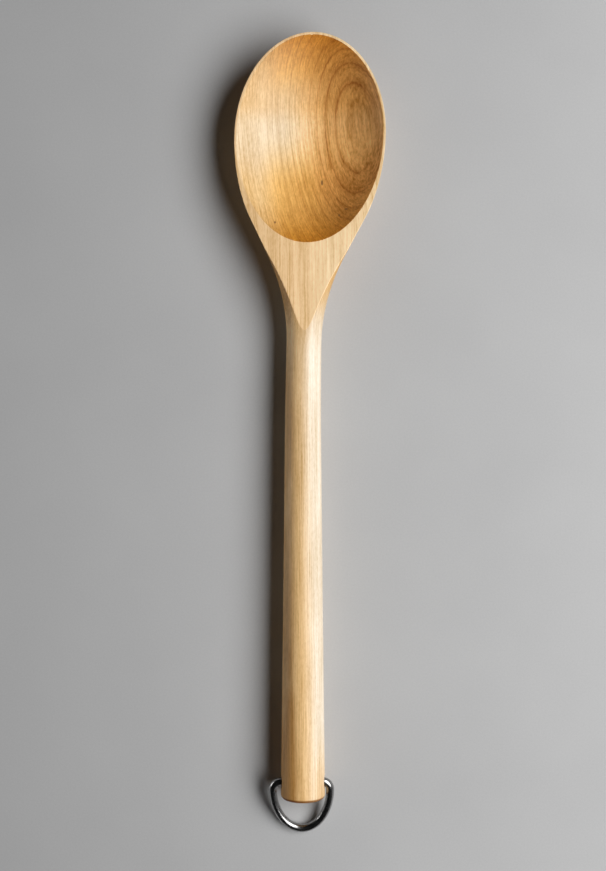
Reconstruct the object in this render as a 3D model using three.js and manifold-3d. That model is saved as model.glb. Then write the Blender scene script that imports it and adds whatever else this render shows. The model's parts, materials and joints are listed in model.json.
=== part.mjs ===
// Wooden cooking spoon with a steel hanging ring, lying on its back with the bowl open upwards.
// Millimetres, +Z up, +Y towards the tip of the bowl, table at Z = 0.

import * as THREE from 'three';
import { mergeVertices } from 'three/addons/utils/BufferGeometryUtils.js';
import Module from 'manifold-3d';

// Spoon seen from above, measured along it from the tip of the bowl
const SPOON_LENGTH = 330;
const BOWL_WIDTH = 65;
const TIP_REACH = 44; // tip to the widest place of the bowl
const SHOULDER_REACH = 55; // widest place to where the shoulder's ellipse would close
const FLANK_SLOPE = 0.517; // narrowing of each side, per length, between shoulder and cove
const COVE_RADIUS = 80; // sweep of the flank into the neck
const NECK_RADIUS = 7.55;
const BUTT_RADIUS = 9.6;
const HANDLE_TAPER_POWER = 1.2; // above 1 the handle swells later, towards its end
const BUTT_EDGE_RADIUS = 1.2; // rounding of the handle's end

// Spoon seen from the side
const STOCK_HEIGHT = 18; // the flat of the rim and neck above the table
const BELLY_RIM_ANGLE = 58; // degrees, slope of the belly where it meets the rim
const ROUNDING_DELAY = 16; // widest place to where the section starts to turn round
const ROUNDING_RUN_OUT = 8; // end of the cove to where the section is fully round

// The grain carries the head a little to one side of the handle's line
const HEAD_LEAN = 1.7; // degrees
const LEAN_MIDDLE = 145; // middle of the bend, from the tip
const LEAN_HALF_RUN = 30;

// Hollow of the bowl
const RIM_WIDTH = 1.1;
const RIM_WIDTH_AT_TIP = 1.3;
const HOLLOW_NECK_REACH = 46; // widest place to the hollow's end at the neck
const HOLLOW_DEPTH = 12.5;
const HOLLOW_RIM_ANGLE = 50; // degrees, of the sphere cap that the hollow is stretched from

// Cross hole near the end of the handle
const HOLE_INSET = 7.2; // butt to the hole's axis
const HOLE_CLEARANCE = 1.5; // on the wire's diameter
const HOLE_CHAMFER = 0.8;

// Hanging ring, one wire bent to a D whose ends meet inside the hole
const WIRE_DIAMETER = 3.5;
const RING_SIDE_CLEARANCE = 1.15; // handle to each arm of a centred ring
const RING_OVERHANG = 17; // butt to the wire's centre at the end of the bow
const RING_CORNER_RADIUS = 4;
const RING_END_GAP = 0.6; // between the two ends of the wire
const RING_SLIDE = -0.8; // sideways rest of the ring in its hole
const RING_YAW = 1.2; // degrees, slack turn of the ring in its hole
const TABLE_CLEARANCE = 0.02; // wire to table where the bow lies down

// Fineness of the facets
const SECTION_STEPS = 36;
const TIP_STEPS = 11;
const HEAD_STEPS = 24;
const HANDLE_STEPS = 9;
const BUTT_STEPS = 3;
const HOLLOW_RINGS = 9;
const HOLLOW_SIDES = 52;
const HOLE_SIDES = 24;
const WIRE_SIDES = 12;
const RING_STEPS = 72;

// Worked-out sizes
const BOWL_HALF_WIDTH = BOWL_WIDTH / 2;
const AXIS_HEIGHT = BUTT_RADIUS; // the butt lies on the table
const WIRE_RADIUS = WIRE_DIAMETER / 2;
const HOLE_RADIUS = (WIRE_DIAMETER + HOLE_CLEARANCE) / 2;
const HOLE_STATION = SPOON_LENGTH - HOLE_INSET;
const RING_HALF_WIDTH = BUTT_RADIUS + RING_SIDE_CLEARANCE + WIRE_RADIUS;
const RING_REACH = HOLE_INSET + RING_OVERHANG;
const RING_TILT = Math.asin((AXIS_HEIGHT - WIRE_RADIUS - TABLE_CLEARANCE) / RING_REACH);
const BELLY_SINE = Math.sin(THREE.MathUtils.degToRad(BELLY_RIM_ANGLE));
const BELLY_CUT = -Math.sqrt(1 - BELLY_SINE ** 2); // level of the rim in the belly's own radius
const ROUND_CUT = (STOCK_HEIGHT - AXIS_HEIGHT) / NECK_RADIUS; // the same level in the round neck's radius
const LEAN_TANGENT = Math.tan(THREE.MathUtils.degToRad(HEAD_LEAN));

// The shoulder's ellipse ends where it is as steep as the flank
const SHOULDER_RATIO = (FLANK_SLOPE * SHOULDER_REACH) / BOWL_HALF_WIDTH;
const SHOULDER_SHARE = SHOULDER_RATIO / Math.hypot(1, SHOULDER_RATIO);
const SHOULDER_END = TIP_REACH + SHOULDER_REACH * SHOULDER_SHARE;
const SHOULDER_END_WIDTH = BOWL_HALF_WIDTH * Math.sqrt(1 - SHOULDER_SHARE ** 2);

// The cove is an arc that touches the flank and the neck
const FLANK_ANGLE = Math.atan(FLANK_SLOPE);
const COVE_START_WIDTH = NECK_RADIUS + COVE_RADIUS * (1 - Math.cos(FLANK_ANGLE));
const COVE_START = SHOULDER_END + (SHOULDER_END_WIDTH - COVE_START_WIDTH) / FLANK_SLOPE;
const COVE_END = COVE_START + COVE_RADIUS * Math.sin(FLANK_ANGLE);
const ROUNDING_START = TIP_REACH + ROUNDING_DELAY;
const ROUNDING_END = COVE_END + ROUNDING_RUN_OUT;

const wasm = await Module();
wasm.setup();

/** Half the width of the spoon's outline at a station along it. */
function halfWidth(station) {
  if (station <= TIP_REACH) {
    return BOWL_HALF_WIDTH * Math.sqrt(1 - ((TIP_REACH - station) / TIP_REACH) ** 2);
  }
  if (station <= SHOULDER_END) {
    return BOWL_HALF_WIDTH * Math.sqrt(1 - ((station - TIP_REACH) / SHOULDER_REACH) ** 2);
  }
  if (station <= COVE_START) {
    return SHOULDER_END_WIDTH - FLANK_SLOPE * (station - SHOULDER_END);
  }
  if (station <= COVE_END) {
    return NECK_RADIUS + COVE_RADIUS - Math.sqrt(COVE_RADIUS ** 2 - (COVE_END - station) ** 2);
  }
  const along = (station - COVE_END) / (SPOON_LENGTH - COVE_END);
  return NECK_RADIUS + (BUTT_RADIUS - NECK_RADIUS) * along ** HANDLE_TAPER_POWER;
}

/** Sideways shift of the spoon's middle line: straight along the head, an arc at the bend, none at the handle. */
function leanShift(station) {
  const before = LEAN_MIDDLE - station;
  if (before >= LEAN_HALF_RUN) {
    return LEAN_TANGENT * before;
  }
  return LEAN_TANGENT * (Math.max(before + LEAN_HALF_RUN, 0) ** 2 / (4 * LEAN_HALF_RUN));
}

/** The ellipse of the wood at a station: its half axes, its centre's height and where the flat cuts it. */
function sectionEllipse(station) {
  const width = halfWidth(station);
  if (station <= TIP_REACH) {
    const inwards = Math.sqrt(1 - (BELLY_SINE * (1 - station / TIP_REACH)) ** 2);
    const radius = (STOCK_HEIGHT / (1 + BELLY_CUT)) * inwards;
    const centre = STOCK_HEIGHT / (1 + BELLY_CUT);
    const across = (BOWL_HALF_WIDTH / BELLY_SINE) * inwards;
    return { across, upright: radius, centre, cut: BELLY_CUT / inwards };
  }
  if (station >= ROUNDING_END) {
    return { across: width, upright: width, centre: AXIS_HEIGHT, cut: 1 };
  }
  const turned = THREE.MathUtils.smoothstep(station, ROUNDING_START, ROUNDING_END);
  const lifted = THREE.MathUtils.smoothstep(station, TIP_REACH, ROUNDING_END);
  const underside = (AXIS_HEIGHT - halfWidth(ROUNDING_END)) * lifted;
  const cut = THREE.MathUtils.lerp(BELLY_CUT, ROUND_CUT, turned);
  const upright = (STOCK_HEIGHT - underside) / (1 + cut);
  const across = width / Math.sqrt(1 - Math.min(cut, 0) ** 2);
  return { across, upright, centre: underside + upright, cut };
}

/** Points round the wood at a station, from one edge of the flat under the belly to the other. */
function sectionPoints(station, shrink = 0) {
  const { across, upright, centre, cut } = sectionEllipse(station);
  const start = Math.acos(THREE.MathUtils.clamp(cut, -1, 1));
  const middle = leanShift(station);
  const points = [];
  for (let i = 0; i <= SECTION_STEPS; i += 1) {
    const angle = THREE.MathUtils.lerp(start, 2 * Math.PI - start, i / SECTION_STEPS);
    const x = middle + (across - shrink) * Math.sin(angle);
    const z = centre + (upright - shrink) * Math.cos(angle);
    points.push(new THREE.Vector3(x, SPOON_LENGTH - station, z));
  }
  return points;
}

/** Stations from the tip to the start of the butt's rounding, closer together where the outline turns. */
function bodyStations() {
  const stations = [];
  for (let i = 1; i <= TIP_STEPS; i += 1) {
    stations.push(TIP_REACH * (1 - Math.cos((i / TIP_STEPS) * (Math.PI / 2))));
  }
  for (let i = 1; i <= HEAD_STEPS; i += 1) {
    stations.push(THREE.MathUtils.lerp(TIP_REACH, ROUNDING_END, i / HEAD_STEPS));
  }
  for (let i = 1; i <= HANDLE_STEPS; i += 1) {
    stations.push(THREE.MathUtils.lerp(ROUNDING_END, SPOON_LENGTH - BUTT_EDGE_RADIUS, i / HANDLE_STEPS));
  }
  return stations;
}

/** Closed skin over loops of equal count, drawn to a point at each end, its four-sided cells split the short way. */
function loft(first, loops, last) {
  const count = loops[0].length;
  const vertices = [first, ...loops.flat(), last];
  const triangles = [];
  const at = (loop, i) => 1 + loop * count + (i % count);
  for (let i = 0; i < count; i += 1) {
    triangles.push(0, at(0, i), at(0, i + 1));
    triangles.push(vertices.length - 1, at(loops.length - 1, i + 1), at(loops.length - 1, i));
    for (let loop = 0; loop + 1 < loops.length; loop += 1) {
      const [a, b, c, d] = [at(loop, i), at(loop + 1, i), at(loop + 1, i + 1), at(loop, i + 1)];
      const alongFirst = vertices[a].distanceTo(vertices[c]) <= vertices[b].distanceTo(vertices[d]);
      triangles.push(...(alongFirst ? [a, b, c, a, c, d] : [a, b, d, b, c, d]));
    }
  }
  const geometry = new THREE.BufferGeometry().setFromPoints(vertices);
  return geometry.setIndex(triangles);
}

/** A closed geometry as a solid for cutting, with shared vertices merged and collapsed triangles left out. */
function solidOf(geometry) {
  geometry.deleteAttribute('normal');
  geometry.deleteAttribute('uv');
  const merged = mergeVertices(geometry);
  const corners = merged.index.array;
  const triangles = [];
  for (let i = 0; i < corners.length; i += 3) {
    const [a, b, c] = corners.slice(i, i + 3);
    if (a !== b && b !== c && c !== a) {
      triangles.push(a, b, c);
    }
  }
  return new wasm.Manifold(new wasm.Mesh({
    numProp: 3,
    vertProperties: new Float32Array(merged.attributes.position.array),
    triVerts: new Uint32Array(triangles),
  }));
}

/** A cut solid as a geometry to show. */
function geometryOf(solid) {
  const mesh = solid.getMesh();
  const geometry = new THREE.BufferGeometry();
  geometry.setAttribute('position', new THREE.BufferAttribute(mesh.vertProperties, 3));
  geometry.setIndex(new THREE.BufferAttribute(mesh.triVerts, 1));
  geometry.computeVertexNormals();
  return geometry;
}

/** The blank: belly, flat rim and neck, round handle and rounded butt in one skin. */
function spoonBlank() {
  const tip = new THREE.Vector3(leanShift(0), SPOON_LENGTH, STOCK_HEIGHT);
  const loops = bodyStations().map((station) => sectionPoints(station));
  for (let i = 1; i <= BUTT_STEPS; i += 1) {
    const turn = (i / BUTT_STEPS) * (Math.PI / 2);
    const station = SPOON_LENGTH - BUTT_EDGE_RADIUS * (1 - Math.sin(turn));
    loops.push(sectionPoints(station, BUTT_EDGE_RADIUS * (1 - Math.cos(turn))));
  }
  return loft(tip, loops, new THREE.Vector3(0, 0, AXIS_HEIGHT));
}

/** The hollow's cutter: a sphere cap revolved, then stretched to the rim's length, width and depth. */
function hollowCutter() {
  const sine = Math.sin(THREE.MathUtils.degToRad(HOLLOW_RIM_ANGLE));
  const cosine = Math.sqrt(1 - sine ** 2);
  const profile = [];
  for (let i = 0; i <= HOLLOW_RINGS + 1; i += 1) {
    const out = i / HOLLOW_RINGS; // one ring past the rim, so that the cutter stands clear of the flat
    const drop = (Math.sqrt(1 - (sine * out) ** 2) - cosine) / (1 - cosine);
    profile.push(new THREE.Vector2(out, -HOLLOW_DEPTH * drop));
  }
  profile.push(new THREE.Vector2(0, profile.at(-1).y));
  const cutter = new THREE.LatheGeometry(profile, HOLLOW_SIDES);
  cutter.rotateX(Math.PI / 2);
  const position = cutter.attributes.position;
  for (let i = 0; i < position.count; i += 1) {
    const reach = position.getY(i) > 0 ? TIP_REACH - RIM_WIDTH_AT_TIP : HOLLOW_NECK_REACH;
    const station = TIP_REACH - position.getY(i) * reach;
    const x = position.getX(i) * (BOWL_HALF_WIDTH - RIM_WIDTH) + leanShift(station);
    position.setXYZ(i, x, SPOON_LENGTH - station, STOCK_HEIGHT + position.getZ(i));
  }
  return cutter;
}

/** The cross hole's cutter: a bore with a chamfered mouth on each side of the handle. */
function holeCutter() {
  const surface = halfWidth(HOLE_STATION);
  const past = surface + HOLE_CHAMFER;
  const mouth = HOLE_RADIUS + 2 * HOLE_CHAMFER;
  const profile = [
    new THREE.Vector2(0, -past),
    new THREE.Vector2(mouth, -past),
    new THREE.Vector2(HOLE_RADIUS, HOLE_CHAMFER - surface),
    new THREE.Vector2(HOLE_RADIUS, surface - HOLE_CHAMFER),
    new THREE.Vector2(mouth, past),
    new THREE.Vector2(0, past),
  ];
  const cutter = new THREE.LatheGeometry(profile, HOLE_SIDES);
  cutter.rotateZ(-Math.PI / 2);
  return cutter.translate(0, HOLE_INSET, AXIS_HEIGHT);
}

/** A flat path laid in space, in the plane of its first two axes. */
class FlatCurve extends THREE.Curve {
  constructor(path) {
    super();
    this.path = path;
  }

  getPoint(t, target = new THREE.Vector3()) {
    const { x, y } = this.path.getPoint(t);
    return target.set(x, y, 0);
  }
}

/** The D of the ring, from one end of the wire out round the bow and back, with the bar along X. */
function ringPath() {
  const barHalf = RING_HALF_WIDTH - RING_CORNER_RADIUS;
  const bowReach = RING_REACH - RING_CORNER_RADIUS;
  const path = new THREE.Path();
  path.moveTo(RING_END_GAP / 2, 0);
  path.lineTo(barHalf, 0);
  path.absarc(barHalf, -RING_CORNER_RADIUS, RING_CORNER_RADIUS, Math.PI / 2, 0, true);
  path.absellipse(0, -RING_CORNER_RADIUS, RING_HALF_WIDTH, bowReach, 0, -Math.PI, true);
  path.absarc(-barHalf, -RING_CORNER_RADIUS, RING_CORNER_RADIUS, Math.PI, Math.PI / 2, true);
  path.lineTo(-RING_END_GAP / 2, 0);
  return new FlatCurve(path);
}

/** The wooden spoon, cut from its blank. */
function makeSpoon() {
  const carved = solidOf(spoonBlank()).subtract(solidOf(hollowCutter())).subtract(solidOf(holeCutter()));
  const wood = new THREE.MeshStandardMaterial({ color: 0xe2bd8b, roughness: 0.55, metalness: 0 });
  const spoon = new THREE.Mesh(geometryOf(carved), wood);
  spoon.name = 'wooden_spoon';
  return spoon;
}

/** The hanging ring, in a group whose X axis is the hole's axis, tipped until its bow lies on the table. */
function makeRing() {
  const wire = new THREE.Shape().absarc(0, 0, WIRE_RADIUS, 0, 2 * Math.PI);
  const geometry = new THREE.ExtrudeGeometry(wire, {
    steps: RING_STEPS,
    curveSegments: WIRE_SIDES / 2,
    bevelEnabled: false,
    extrudePath: ringPath(),
  });
  const steel = new THREE.MeshStandardMaterial({ color: 0xc6c8cb, roughness: 0.15, metalness: 1 });
  const ring = new THREE.Mesh(geometry, steel);
  ring.name = 'hanging_ring';
  ring.position.x = RING_SLIDE;
  ring.rotation.z = THREE.MathUtils.degToRad(RING_YAW);
  const swing = new THREE.Group();
  swing.position.set(0, HOLE_INSET, AXIS_HEIGHT);
  swing.rotation.x = RING_TILT;
  swing.add(ring);
  return swing;
}

// The origin is on the table, under the middle of the spoon's own box
const assembly = new THREE.Group();
assembly.add(makeSpoon(), makeRing());
const box = new THREE.Box3().setFromObject(assembly, true);
const middle = box.getCenter(new THREE.Vector3());
assembly.position.set(-middle.x, -middle.y, -box.min.z);

const part = new THREE.Group();
part.add(assembly);

export default part;
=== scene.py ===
"""A wooden cooking spoon with a steel hanging ring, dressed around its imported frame."""

import json
import logging
import math
from dataclasses import dataclass
from enum import Enum
from typing import Optional, Sequence, Union

import bpy
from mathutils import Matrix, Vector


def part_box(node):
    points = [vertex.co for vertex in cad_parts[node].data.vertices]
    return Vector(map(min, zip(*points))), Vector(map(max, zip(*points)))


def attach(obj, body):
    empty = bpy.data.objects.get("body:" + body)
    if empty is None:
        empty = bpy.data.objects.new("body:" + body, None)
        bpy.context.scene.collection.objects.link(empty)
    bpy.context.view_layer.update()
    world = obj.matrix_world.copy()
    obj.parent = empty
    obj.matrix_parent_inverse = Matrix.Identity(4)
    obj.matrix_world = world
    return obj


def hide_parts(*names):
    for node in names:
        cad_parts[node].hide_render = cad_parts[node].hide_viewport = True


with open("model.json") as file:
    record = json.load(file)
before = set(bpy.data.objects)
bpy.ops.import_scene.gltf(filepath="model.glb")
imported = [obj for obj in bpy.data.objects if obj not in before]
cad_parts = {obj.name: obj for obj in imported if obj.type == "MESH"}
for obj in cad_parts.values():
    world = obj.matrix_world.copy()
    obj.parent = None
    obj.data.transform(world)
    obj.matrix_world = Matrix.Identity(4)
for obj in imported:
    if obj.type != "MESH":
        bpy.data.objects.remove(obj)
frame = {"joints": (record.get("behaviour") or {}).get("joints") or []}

LOG = logging.getLogger("spoon_scene")
MM = 0.001
HALF_TURN = math.pi
QUARTER_TURN = math.pi / 2

Socket = bpy.types.NodeSocket
Colour = tuple[float, float, float]
Point = tuple[float, float, float]
Span = tuple[float, float]
Amount = Union["Number", float]
BLACK: Colour = (0.0, 0.0, 0.0)


class Op(Enum):
    """Sums that one node can do."""

    ADD = "ADD"
    TAKE = "SUBTRACT"
    TIMES = "MULTIPLY"
    OVER = "DIVIDE"
    POWER = "POWER"
    ROOT = "SQRT"
    SIZE = "ABSOLUTE"
    SINE = "SINE"
    COSINE = "COSINE"
    ARC_COSINE = "ARCCOSINE"
    SMALLER = "MINIMUM"
    LARGER = "MAXIMUM"
    BELOW = "LESS_THAN"
    FLOOR = "FLOOR"
    BEARING = "ARCTAN2"


class Body(Enum):
    """Moving bodies of the part."""

    SPOON = "spoon"
    RING = "ring"


class Slot(Enum):
    """Finishes that the record names."""

    WOOD = "wood"
    STEEL = "steel_wire"


class Node(Enum):
    """Solids of the part that a dressed piece stands for."""

    SPOON = "wooden_spoon"
    RING = "hanging_ring"


class Number:
    """A number inside a node tree, which takes Python's own arithmetic."""

    def __init__(self, plan: "Plan", socket: Socket) -> None:
        """Keeps the socket that carries the number."""
        self.plan = plan
        self.socket = socket

    def __add__(self, other: Amount) -> "Number":
        """This number plus another."""
        return self.plan.work_out(Op.ADD, self, other)

    def __radd__(self, other: float) -> "Number":
        """Another number plus this one."""
        return self.plan.work_out(Op.ADD, other, self)

    def __sub__(self, other: Amount) -> "Number":
        """This number less another."""
        return self.plan.work_out(Op.TAKE, self, other)

    def __rsub__(self, other: float) -> "Number":
        """Another number less this one."""
        return self.plan.work_out(Op.TAKE, other, self)

    def __mul__(self, other: Amount) -> "Number":
        """This number times another."""
        return self.plan.work_out(Op.TIMES, self, other)

    def __rmul__(self, other: float) -> "Number":
        """Another number times this one."""
        return self.plan.work_out(Op.TIMES, other, self)

    def __truediv__(self, other: Amount) -> "Number":
        """This number over another."""
        return self.plan.work_out(Op.OVER, self, other)

    def __pow__(self, other: Amount) -> "Number":
        """This number to a power."""
        return self.plan.work_out(Op.POWER, self, other)

    def __abs__(self) -> "Number":
        """This number without its sign."""
        return self.plan.work_out(Op.SIZE, self)

    def squared(self) -> "Number":
        """This number times itself."""
        return self * self

    def root(self) -> "Number":
        """Square root, and 0 below 0."""
        return self.plan.work_out(Op.ROOT, self)

    def sine(self) -> "Number":
        """Sine of this angle."""
        return self.plan.work_out(Op.SINE, self)

    def cosine(self) -> "Number":
        """Cosine of this angle."""
        return self.plan.work_out(Op.COSINE, self)

    def arc_cosine(self) -> "Number":
        """Angle that has this cosine."""
        return self.plan.work_out(Op.ARC_COSINE, self)

    def floor(self) -> "Number":
        """Whole number at or below this one."""
        return self.plan.work_out(Op.FLOOR, self)

    def at_least(self, other: Amount) -> "Number":
        """The larger of two numbers."""
        return self.plan.work_out(Op.LARGER, self, other)

    def at_most(self, other: Amount) -> "Number":
        """The smaller of two numbers."""
        return self.plan.work_out(Op.SMALLER, self, other)

    def held(self) -> "Number":
        """This number kept between 0 and 1."""
        return self.at_least(0.0).at_most(1.0)

    def below(self, other: Amount) -> "Number":
        """1 where this number is the smaller, and 0 elsewhere."""
        return self.plan.work_out(Op.BELOW, self, other)

    def ramp(self, start: Amount, end: Amount) -> "Number":
        """0 at the start, 1 at the end, straight between and level outside."""
        return ((self - start) / (end - start)).held()

    def eased(self, start: Amount, end: Amount) -> "Number":
        """0 at the start, 1 at the end, with a soft rise between."""
        share = self.ramp(start, end)
        return share.squared() * (3.0 - 2.0 * share)


class Plan:
    """A node tree while it is being drawn."""

    def __init__(self, tree: bpy.types.NodeTree) -> None:
        """Keeps the tree that the nodes go into."""
        self.tree = tree

    def node(self, kind: str, **settings: object) -> bpy.types.Node:
        """Adds a node.

        Args:
            kind: Blender's name of the node's type.
            settings: Values for the node's own properties.

        Returns:
            The new node.
        """
        made = self.tree.nodes.new(kind)
        for name, value in settings.items():
            setattr(made, name, value)
        return made

    def feed(self, socket: Socket, value: object) -> None:
        """Links a number or socket to an input, or writes a plain value on it.

        Args:
            socket: The input.
            value: A Number, a socket, or a plain value.
        """
        source = value.socket if isinstance(value, Number) else value
        if isinstance(source, Socket):
            self.tree.links.new(source, socket)
        else:
            socket.default_value = source

    def work_out(self, op: Op, *terms: Amount) -> Number:
        """Adds one sum.

        Args:
            op: Which sum.
            terms: What goes into it, in order.

        Returns:
            The result.
        """
        made = self.node("ShaderNodeMath", operation=op.value)
        for socket, term in zip(made.inputs, terms):
            self.feed(socket, term)
        return Number(self, made.outputs[0])

    def choose(self, test: Number, first: Amount, second: Amount) -> Number:
        """The first number where the test is 1, and the second where it is 0."""
        return self.between(second, first, test)

    def between(self, first: Amount, second: Amount, share: Amount) -> Number:
        """The number that lies that share of the way from the first to the second."""
        return share * (second - first) + first

    def point(self, x: Amount, y: Amount, z: Amount) -> Socket:
        """Makes a vector.

        Args:
            x: Its first number.
            y: Its second number.
            z: Its third number.

        Returns:
            The socket that carries the vector.
        """
        made = self.node("ShaderNodeCombineXYZ")
        for socket, value in zip(made.inputs, (x, y, z)):
            self.feed(socket, value)
        return made.outputs[0]

    def seen(self) -> Number:
        """Tells what is looked at from light that falls on things.

        Returns:
            1 for what the camera, gloss and glass show, and 0 for light that falls on things.
        """
        rays = self.node("ShaderNodeLightPath").outputs
        names = ("Is Camera Ray", "Is Glossy Ray", "Is Transmission Ray")
        camera, gloss, glass = (Number(self, rays[name]) for name in names)
        return camera.at_least(gloss).at_least(glass)

    def parts(self, vector: Socket) -> tuple[Number, Number, Number]:
        """Splits a vector.

        Args:
            vector: The socket that carries the vector.

        Returns:
            Its three numbers.
        """
        made = self.node("ShaderNodeSeparateXYZ")
        self.feed(made.inputs[0], vector)
        x, y, z = (Number(self, socket) for socket in made.outputs)
        return x, y, z


class ShapePlan(Plan):
    """A Geometry Nodes tree with named sizes."""

    def __init__(self, name: str) -> None:
        """Starts an empty tree with a mesh as its result.

        Args:
            name: Name of the tree.
        """
        super().__init__(bpy.data.node_groups.new(name, "GeometryNodeTree"))
        self.values: dict[str, float] = {}
        self.tree.interface.new_socket("Mesh", in_out="OUTPUT", socket_type="NodeSocketGeometry")
        self.entry = self.node("NodeGroupInput")
        self.exit = self.node("NodeGroupOutput")

    def size(self, name: str, value: float) -> Number:
        """Adds a named input.

        Args:
            name: What the size is called.
            value: The size, which the modifier is given.

        Returns:
            The size as a number in the tree.
        """
        label = name.replace("_", " ").capitalize()
        socket = self.tree.interface.new_socket(label, in_out="INPUT", socket_type="NodeSocketFloat")
        self.values[socket.identifier] = float(value)
        return Number(self, next(s for s in self.entry.outputs if s.identifier == socket.identifier))

    def step(self, kind: str, source: object, slot: str, **inputs: object) -> Socket:
        """Adds a node that changes a geometry.

        Args:
            kind: Blender's name of the node's type.
            source: The geometry, or several, that goes in.
            slot: The input that it goes into.
            inputs: Other inputs by name, with spaces as underscores.

        Returns:
            The changed geometry.
        """
        made = self.node(kind)
        for geometry in source if isinstance(source, (list, tuple)) else (source,):
            self.feed(made.inputs[slot], geometry)
        for name, value in inputs.items():
            self.feed(made.inputs[name.replace("_", " ")], value)
        return made.outputs[0]

    def grid(self, rows: int, columns: int) -> tuple[Socket, Number, Number]:
        """A unit sheet of cells to be bent to shape.

        Args:
            rows: Cells along the first direction.
            columns: Cells along the second direction.

        Returns:
            The sheet, and how far along each direction a point of it is, from 0 to 1.
        """
        made = self.node("GeometryNodeMeshGrid")
        counts = (("Vertices X", rows + 1), ("Vertices Y", columns + 1))
        for name, value in (("Size X", 1.0), ("Size Y", 1.0), *counts):
            made.inputs[name].default_value = value
        x, y, _ = self.parts(self.node("GeometryNodeInputPosition").outputs[0])
        return made.outputs["Mesh"], x + 0.5, y + 0.5

    def bent(self, mesh: Socket, x: Amount, y: Amount, z: Amount) -> Socket:
        """The geometry with each point moved to the place that the numbers give."""
        return self.step("GeometryNodeSetPosition", mesh, "Geometry", Position=self.point(x, y, z))

    def noted(self, mesh: Socket, name: str, value: object, domain: str = "POINT",
              kind: str = "FLOAT") -> Socket:
        """Writes a value on every point, edge or face.

        Args:
            mesh: The geometry to write on.
            name: Name of the attribute.
            value: The number or vector to write.
            domain: POINT, EDGE or FACE.
            kind: Type of the attribute.

        Returns:
            The geometry with its attribute.
        """
        made = self.node("GeometryNodeStoreNamedAttribute", domain=domain, data_type=kind)
        self.feed(made.inputs["Geometry"], mesh)
        made.inputs["Name"].default_value = name
        self.feed(made.inputs["Value"], value)
        return made.outputs[0]

    def close(self, mesh: Socket, material: bpy.types.Material) -> None:
        """Ends the tree: millimetres to metres, instances made real, and the finish set.

        Args:
            mesh: The finished shape.
            material: Its finish.
        """
        scaled = self.step("GeometryNodeTransform", mesh, "Geometry", Scale=(MM, MM, MM))
        real = self.step("GeometryNodeRealizeInstances", scaled, "Geometry")
        finished = self.step("GeometryNodeSetMaterial", real, "Geometry", Material=material)
        self.feed(self.exit.inputs[0], finished)

    def carry_out(self, name: str, edge_bevel: Optional["EdgeBevel"] = None) -> bpy.types.Object:
        """Runs the tree on a new object and keeps the result as a plain mesh.

        Args:
            name: Name of the piece.
            edge_bevel: Rounding for the edges that the tree has marked.

        Returns:
            The piece, at the origin, with no modifiers.
        """
        piece = bpy.data.objects.new(name, bpy.data.meshes.new(name + "_start"))
        bpy.context.scene.collection.objects.link(piece)
        shaping = piece.modifiers.new("shape", "NODES")
        shaping.node_group = self.tree
        for identifier, value in self.values.items():
            shaping[identifier] = value
        if edge_bevel is not None:
            edge_bevel.add_to(piece)
        graph = bpy.context.evaluated_depsgraph_get()
        mesh = bpy.data.meshes.new_from_object(piece.evaluated_get(graph), preserve_all_data_layers=True,
                                               depsgraph=graph)
        mesh.name = name
        piece.modifiers.clear()
        piece.data = mesh
        return piece


@dataclass(frozen=True)
class EdgeBevel:
    """Sanded rounding of marked edges, with the flats beside it kept flat. Sizes in millimetres."""

    width: float = 0.32
    segments: int = 3

    def add_to(self, piece: bpy.types.Object) -> None:
        """Adds the rounding and the shading that goes with it.

        Args:
            piece: A piece with marked edges.
        """
        bevel = piece.modifiers.new("sanded_edges", "BEVEL")
        bevel.width = self.width * MM
        bevel.segments = self.segments
        bevel.limit_method = "WEIGHT"
        bevel.use_clamp_overlap = False
        bevel.harden_normals = True


@dataclass(frozen=True)
class Noise:
    """A soft random pattern, with the size of its patches along each axis in millimetres."""

    size: Point
    detail: float = 2.0
    shift: float = 0.0
    roughness: float = 0.5


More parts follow.
